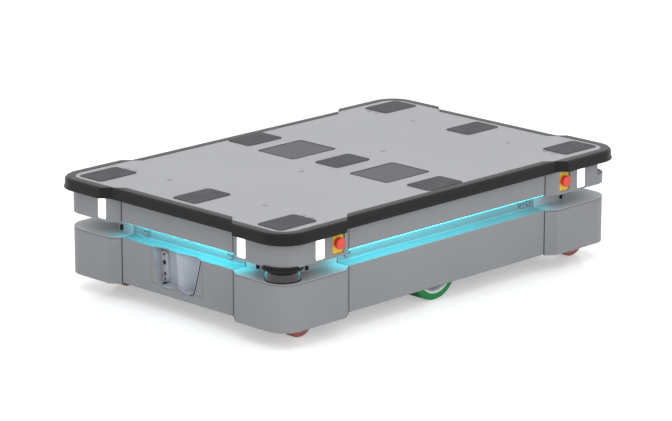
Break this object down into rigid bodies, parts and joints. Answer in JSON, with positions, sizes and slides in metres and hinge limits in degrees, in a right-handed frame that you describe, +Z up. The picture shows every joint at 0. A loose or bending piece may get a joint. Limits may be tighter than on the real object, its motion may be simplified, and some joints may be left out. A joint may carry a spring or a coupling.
{
  "type": "autonomous mobile robot",
  "caption": "Low flat mobile robot with a padded load plate, rubber bumper, sheet covers, lit scan gap, scanners, camera bay and wheels on rocking arms.",
  "frame": {"origin": "on the floor, below the middle of the overall box", "axes": "+X towards the front short side with the camera bay, +Y towards the robot's left, +Z up"},
  "size_m": [1.35, 0.91, 0.322],
  "materials": {
    "frame_paint": "satin powder coat",
    "tray_paint": "satin powder coat",
    "battery_case": "fine texture",
    "electronics_case": "anodised",
    "plate_paint": "satin powder coat",
    "pad_rubber": "matte",
    "bumper_rubber": "matte",
    "cover_paint": "satin powder coat",
    "hatch_paint": "satin powder coat",
    "well_metal": "satin",
    "bay_plastic": "fine texture",
    "camera_metal": "bead blasted",
    "lens_glass": "polished",
    "status_light": "glowing diffuser",
    "signal_light": "glowing diffuser",
    "stop_rubber": "matte",
    "scanner_case": "fine texture",
    "scanner_window": "polished, dark",
    "stop_yellow": "satin",
    "stop_red": "satin",
    "panel_black": "satin",
    "power_green": "satin",
    "resume_blue": "satin",
    "key_metal": "polished",
    "arm_iron": "painted casting",
    "motor_paint": "satin",
    "tyre_green": "matte polyurethane",
    "hub_white": "satin",
    "fork_steel": "zinc plated",
    "caster_wheel": "matte polyurethane"
  },
  "bodies": {
    "chassis": {"anti_slip_pads": "pad_rubber", "battery_pack": "battery_case", "belly_tray": "tray_paint", "bumper": "bumper_rubber", "camera_bay": "bay_plastic", "camera_lenses": "lens_glass", "chassis_frame": "frame_paint", "control_electronics": "electronics_case", "control_panel": "panel_black", "depth_cameras": "camera_metal", "interface_wells": "well_metal", "lower_corner_cover_front_left": "cover_paint", "lower_corner_cover_front_right": "cover_paint", "lower_corner_cover_rear_left": "cover_paint", "lower_corner_cover_rear_right": "cover_paint", "lower_corner_lids": "cover_paint", "lower_panel_front": "cover_paint", "lower_panel_left": "cover_paint", "lower_panel_rear": "cover_paint", "lower_panel_right": "cover_paint", "safety_scanners": "scanner_case", "scanner_windows": "scanner_window", "signal_lights": "signal_light", "status_light_strips": "status_light", "stop_switch_plates": "stop_yellow", "top_plate": "plate_paint", "upper_corner_cover_front_left": "cover_paint", "upper_corner_cover_front_right": "cover_paint", "upper_corner_cover_rear_left": "cover_paint", "upper_corner_cover_rear_right": "cover_paint", "upper_panel_front": "cover_paint", "upper_panel_left": "cover_paint", "upper_panel_rear": "cover_paint", "upper_panel_right": "cover_paint", "wall_end_stops": "stop_rubber"},
    "hatch_left": {"hatch_cover_left": "hatch_paint"},
    "bogie_left": {"bogie_arm_left": "arm_iron", "gear_motor_left": "motor_paint"},
    "drive_wheel_left": {"drive_tyre_left": "tyre_green", "drive_hub_left": "hub_white"},
    "hatch_right": {"hatch_cover_right": "hatch_paint"},
    "bogie_right": {"bogie_arm_right": "arm_iron", "gear_motor_right": "motor_paint"},
    "drive_wheel_right": {"drive_tyre_right": "tyre_green", "drive_hub_right": "hub_white"},
    "stop_front_left": {"emergency_stop_front_left": "stop_red"},
    "fork_front_left": {"caster_fork_front_left": "fork_steel"},
    "wheel_front_left": {"caster_wheel_front_left": "caster_wheel"},
    "stop_front_right": {"emergency_stop_front_right": "stop_red"},
    "fork_front_right": {"caster_fork_front_right": "fork_steel"},
    "wheel_front_right": {"caster_wheel_front_right": "caster_wheel"},
    "stop_rear_left": {"emergency_stop_rear_left": "stop_red"},
    "fork_rear_left": {"caster_fork_rear_left": "fork_steel"},
    "wheel_rear_left": {"caster_wheel_rear_left": "caster_wheel"},
    "stop_rear_right": {"emergency_stop_rear_right": "stop_red"},
    "fork_rear_right": {"caster_fork_rear_right": "fork_steel"},
    "wheel_rear_right": {"caster_wheel_rear_right": "caster_wheel"},
    "power": {"power_button": "power_green"},
    "resume": {"resume_button": "resume_blue"},
    "key": {"key_switch": "key_metal"}
  },
  "joints": [
    {"name": "hatch_left_lift", "type": "slide", "parent": "chassis", "child": "hatch_left", "axis": [0, 0, 1], "range_m": [0, 0.05]},
    {"name": "bogie_left_rock", "type": "hinge", "parent": "chassis", "child": "bogie_left", "pos_m": [0.19, 0.271, 0.11], "axis": [0, 1, 0], "range_deg": [-1.5, 1.5]},
    {"name": "drive_wheel_left_spin", "type": "hinge", "parent": "bogie_left", "child": "drive_wheel_left", "pos_m": [0.017, 0.335, 0.085], "axis": [0, 1, 0], "continuous": true},
    {"name": "hatch_right_lift", "type": "slide", "parent": "chassis", "child": "hatch_right", "axis": [0, 0, 1], "range_m": [0, 0.05]},
    {"name": "bogie_right_rock", "type": "hinge", "parent": "chassis", "child": "bogie_right", "pos_m": [0.19, -0.271, 0.11], "axis": [0, 1, 0], "range_deg": [-1.5, 1.5]},
    {"name": "drive_wheel_right_spin", "type": "hinge", "parent": "bogie_right", "child": "drive_wheel_right", "pos_m": [0.017, -0.335, 0.085], "axis": [0, 1, 0], "continuous": true},
    {"name": "stop_front_left_press", "type": "slide", "parent": "chassis", "child": "stop_front_left", "axis": [0, -1, 0], "range_m": [0, 0.004]},
    {"name": "stop_front_right_press", "type": "slide", "parent": "chassis", "child": "stop_front_right", "axis": [0, 1, 0], "range_m": [0, 0.004]},
    {"name": "stop_rear_left_press", "type": "slide", "parent": "chassis", "child": "stop_rear_left", "axis": [0, -1, 0], "range_m": [0, 0.004]},
    {"name": "stop_rear_right_press", "type": "slide", "parent": "chassis", "child": "stop_rear_right", "axis": [0, 1, 0], "range_m": [0, 0.004]},
    {"name": "fork_front_left_swivel", "type": "hinge", "parent": "bogie_left", "child": "fork_front_left", "pos_m": [0.545, 0.3365, 0.136], "axis": [0, 0, 1], "continuous": true},
    {"name": "wheel_front_left_spin", "type": "hinge", "parent": "fork_front_left", "child": "wheel_front_left", "pos_m": [0.515, 0.3365, 0.05], "axis": [0, 1, 0], "continuous": true},
    {"name": "fork_front_right_swivel", "type": "hinge", "parent": "bogie_right", "child": "fork_front_right", "pos_m": [0.545, -0.3365, 0.136], "axis": [0, 0, 1], "continuous": true},
    {"name": "wheel_front_right_spin", "type": "hinge", "parent": "fork_front_right", "child": "wheel_front_right", "pos_m": [0.515, -0.3365, 0.05], "axis": [0, 1, 0], "continuous": true},
    {"name": "fork_rear_left_swivel", "type": "hinge", "parent": "chassis", "child": "fork_rear_left", "pos_m": [-0.545, 0.3365, 0.136], "axis": [0, 0, 1], "continuous": true},
    {"name": "wheel_rear_left_spin", "type": "hinge", "parent": "fork_rear_left", "child": "wheel_rear_left", "pos_m": [-0.575, 0.3365, 0.05], "axis": [0, 1, 0], "continuous": true},
    {"name": "fork_rear_right_swivel", "type": "hinge", "parent": "chassis", "child": "fork_rear_right", "pos_m": [-0.545, -0.3365, 0.136], "axis": [0, 0, 1], "continuous": true},
    {"name": "wheel_rear_right_spin", "type": "hinge", "parent": "fork_rear_right", "child": "wheel_rear_right", "pos_m": [-0.575, -0.3365, 0.05], "axis": [0, 1, 0], "continuous": true},
    {"name": "power_press", "type": "slide", "parent": "chassis", "child": "power", "axis": [1, 0, 0], "range_m": [0, 0.003], "stiffness_N_per_m": 300},
    {"name": "resume_press", "type": "slide", "parent": "chassis", "child": "resume", "axis": [1, 0, 0], "range_m": [0, 0.003], "stiffness_N_per_m": 300},
    {"name": "key_turn", "type": "hinge", "parent": "chassis", "child": "key", "pos_m": [-0.598, 0.4085, 0.2695], "axis": [-1, 0, 0], "range_deg": [0, 90]}
  ]
}
